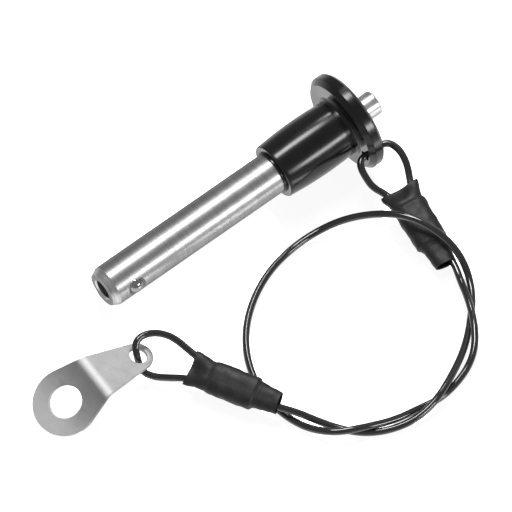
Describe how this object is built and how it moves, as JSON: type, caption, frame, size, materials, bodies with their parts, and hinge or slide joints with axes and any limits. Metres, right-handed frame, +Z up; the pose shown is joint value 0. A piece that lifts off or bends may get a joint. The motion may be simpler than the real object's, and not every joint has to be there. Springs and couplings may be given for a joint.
{
  "type": "hitch pin lock",
  "caption": "Push-button ball-lock pin with a black flanged handle, a coated wire lanyard through the flange and a bent steel mounting tab.",
  "frame": {"origin": "middle of the pin's box at the surface it lies on", "axes": "+X along the pin towards its button, as it leans on its flange and tip, +Z up; the lanyard lies towards -Y"},
  "size_m": [0.1118, 0.0838, 0.0244],
  "materials": {
    "turned_steel": "fine turned",
    "button_steel": "satin",
    "black_anodise": "black anodised, glossy",
    "ball_steel": "polished",
    "spring_steel": "drawn wire",
    "cable_coat": "semi-gloss coat over wire rope",
    "ferrule_metal": "crimped",
    "shrink_film": "shrunk film, soft sheen",
    "tab_steel": "tumbled satin"
  },
  "bodies": {
    "pin": {"shank": "turned_steel", "handle": "black_anodise", "rear_bush": "turned_steel", "retaining_ring": "spring_steel", "return_spring": "spring_steel"},
    "plunger": {"spindle": "turned_steel", "push_button": "button_steel"},
    "front_ball": {"locking_ball_front": "ball_steel"},
    "rear_ball": {"locking_ball_rear": "ball_steel"},
    "lanyard": {"lanyard_cable": "cable_coat", "ferrule_flange_loop": "ferrule_metal", "ferrule_tab_loop": "ferrule_metal", "sleeve_flange_loop": "shrink_film", "sleeve_tab_loop": "shrink_film"},
    "tab": {"mounting_tab": "tab_steel"}
  },
  "joints": [
    {"name": "button_slide", "type": "slide", "parent": "pin", "child": "plunger", "axis": [-0.9945, 0, -0.1047], "range_m": [0, 0.0035], "stiffness_N_per_m": 1500, "springref_m": -0.004, "deforming": ["return_spring"]},
    {"name": "front_ball_slide", "type": "slide", "parent": "pin", "child": "front_ball", "axis": [0.0158, 0.9885, -0.1504], "range_m": [0, 0.00096]},
    {"name": "rear_ball_slide", "type": "slide", "parent": "pin", "child": "rear_ball", "axis": [-0.0158, -0.9885, 0.1504], "range_m": [0, 0.00096]},
    {"name": "lanyard_swing", "type": "hinge", "parent": "pin", "child": "lanyard", "pos_m": [0.03142, -0.00918, 0.01018], "axis": [0.9945, 0, 0.1047], "range_deg": [-60, 4]},
    {"name": "tab_swing", "type": "hinge", "parent": "lanyard", "child": "tab", "pos_m": [-0.0451, -0.02109, 0.00636], "axis": [0.1748, -0.1591, 0.9717], "range_deg": [-20, 20]}
  ],
  "couplings": [
    {"joint": "front_ball_slide", "follows": "button_slide", "ratio": 0.2714},
    {"joint": "rear_ball_slide", "follows": "button_slide", "ratio": 0.2714}
  ]
}
